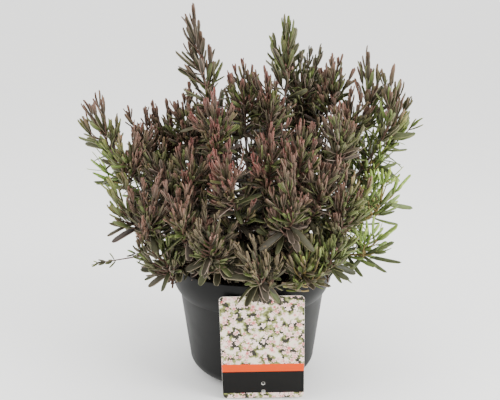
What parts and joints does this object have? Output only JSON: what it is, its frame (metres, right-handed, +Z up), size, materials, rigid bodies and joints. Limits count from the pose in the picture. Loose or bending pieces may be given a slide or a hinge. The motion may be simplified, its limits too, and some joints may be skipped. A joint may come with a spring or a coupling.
{
  "type": "potted bog rosemary shrub",
  "caption": "Low evergreen bog rosemary shrub with narrow leaves on branching upright stems, in a dark moulded nursery pot of compost with a plastic plant label hooked over the rim.",
  "frame": {"origin": "middle of the pot's flat underside, where it stands on the ground", "axes": "+Z up through the middle of the pot, -Y towards the front where the label hangs, +X to the viewer's right"},
  "size_m": [0.3807, 0.2961, 0.4285],
  "materials": {
    "pot_plastic": "satin",
    "compost": "matte",
    "label_card": "satin",
    "leaves_rose": "satin",
    "leaves_brown": "satin",
    "leaves_olive": "satin",
    "leaves_bright": "satin"
  },
  "bodies": {
    "root": {"pot": "pot_plastic", "compost": "compost", "label": "label_card", "shoot_01": "leaves_brown", "shoot_02": "leaves_olive", "shoot_03": "leaves_olive", "shoot_04": "leaves_brown", "shoot_05": "leaves_brown", "shoot_06": "leaves_brown", "shoot_07": "leaves_olive", "shoot_08": "leaves_brown", "shoot_09": "leaves_bright", "shoot_10": "leaves_brown", "shoot_11": "leaves_brown", "shoot_12": "leaves_brown", "shoot_13": "leaves_olive", "shoot_14": "leaves_olive", "shoot_15": "leaves_brown", "shoot_16": "leaves_brown", "shoot_17": "leaves_rose", "shoot_18": "leaves_rose", "shoot_19": "leaves_rose", "shoot_20": "leaves_rose", "shoot_21": "leaves_rose", "shoot_22": "leaves_rose", "shoot_23": "leaves_brown", "shoot_24": "leaves_brown", "shoot_25": "leaves_rose", "shoot_26": "leaves_brown", "shoot_27": "leaves_brown", "shoot_28": "leaves_brown", "shoot_29": "leaves_bright", "shoot_30": "leaves_bright", "shoot_31": "leaves_bright", "shoot_32": "leaves_bright", "shoot_33": "leaves_rose", "shoot_34": "leaves_rose", "shoot_35": "leaves_brown", "shoot_36": "leaves_olive", "shoot_37": "leaves_olive", "shoot_38": "leaves_brown", "shoot_39": "leaves_olive", "shoot_40": "leaves_olive", "shoot_41": "leaves_olive", "shoot_42": "leaves_olive", "shoot_43": "leaves_olive", "shoot_44": "leaves_olive", "shoot_45": "leaves_brown", "shoot_46": "leaves_brown", "shoot_47": "leaves_brown", "shoot_48": "leaves_brown", "shoot_49": "leaves_brown", "shoot_50": "leaves_rose", "shoot_51": "leaves_rose", "shoot_52": "leaves_rose", "shoot_53": "leaves_rose"}
  },
  "joints": []
}
